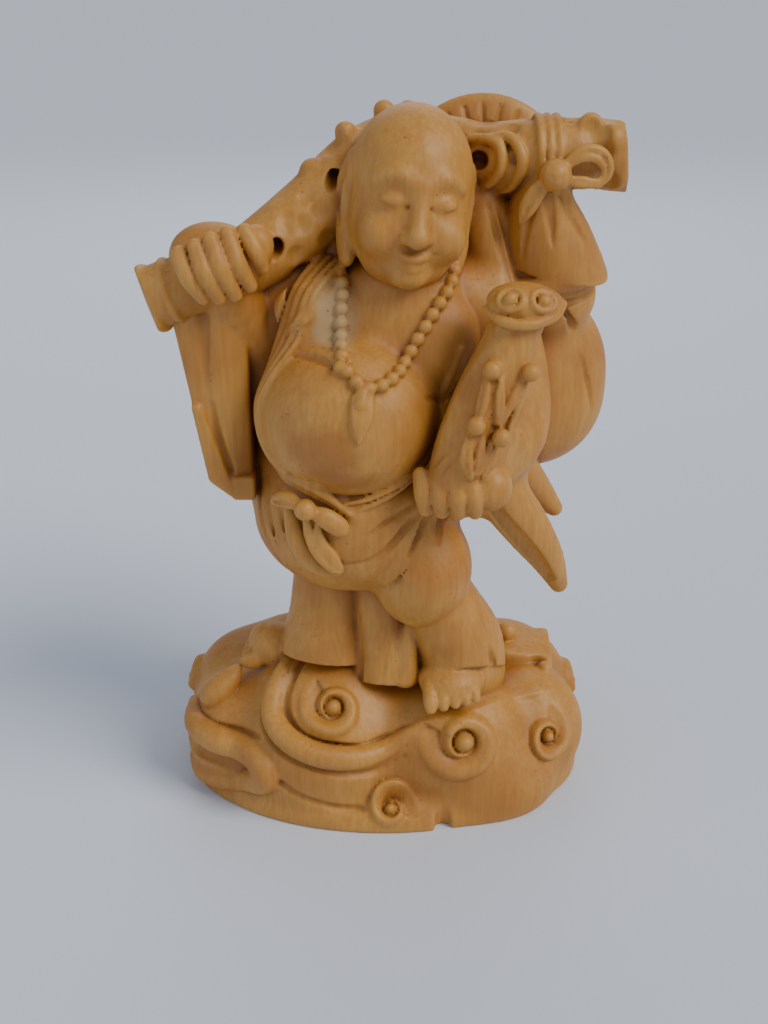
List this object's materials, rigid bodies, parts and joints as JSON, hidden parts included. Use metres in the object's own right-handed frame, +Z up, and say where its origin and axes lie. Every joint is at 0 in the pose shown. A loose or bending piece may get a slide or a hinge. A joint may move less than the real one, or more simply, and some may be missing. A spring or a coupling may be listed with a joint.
{
  "type": "wooden buddha statue",
  "caption": "Carved boxwood laughing-buddha figure walking on a cloud, with a branch, sack, sun hat and sceptre, for standing on a shelf.",
  "frame": {"origin": "on the flat underside, near the middle of the cloud's outline", "axes": "+Z up, -Y the way the figure faces, +X towards the sack and the sceptre"},
  "size_m": [0.0914, 0.0648, 0.1438],
  "materials": {
    "boxwood": "hand-rubbed satin, bare carved wood"
  },
  "bodies": {
    "root": {"statue": "boxwood"}
  },
  "joints": []
}
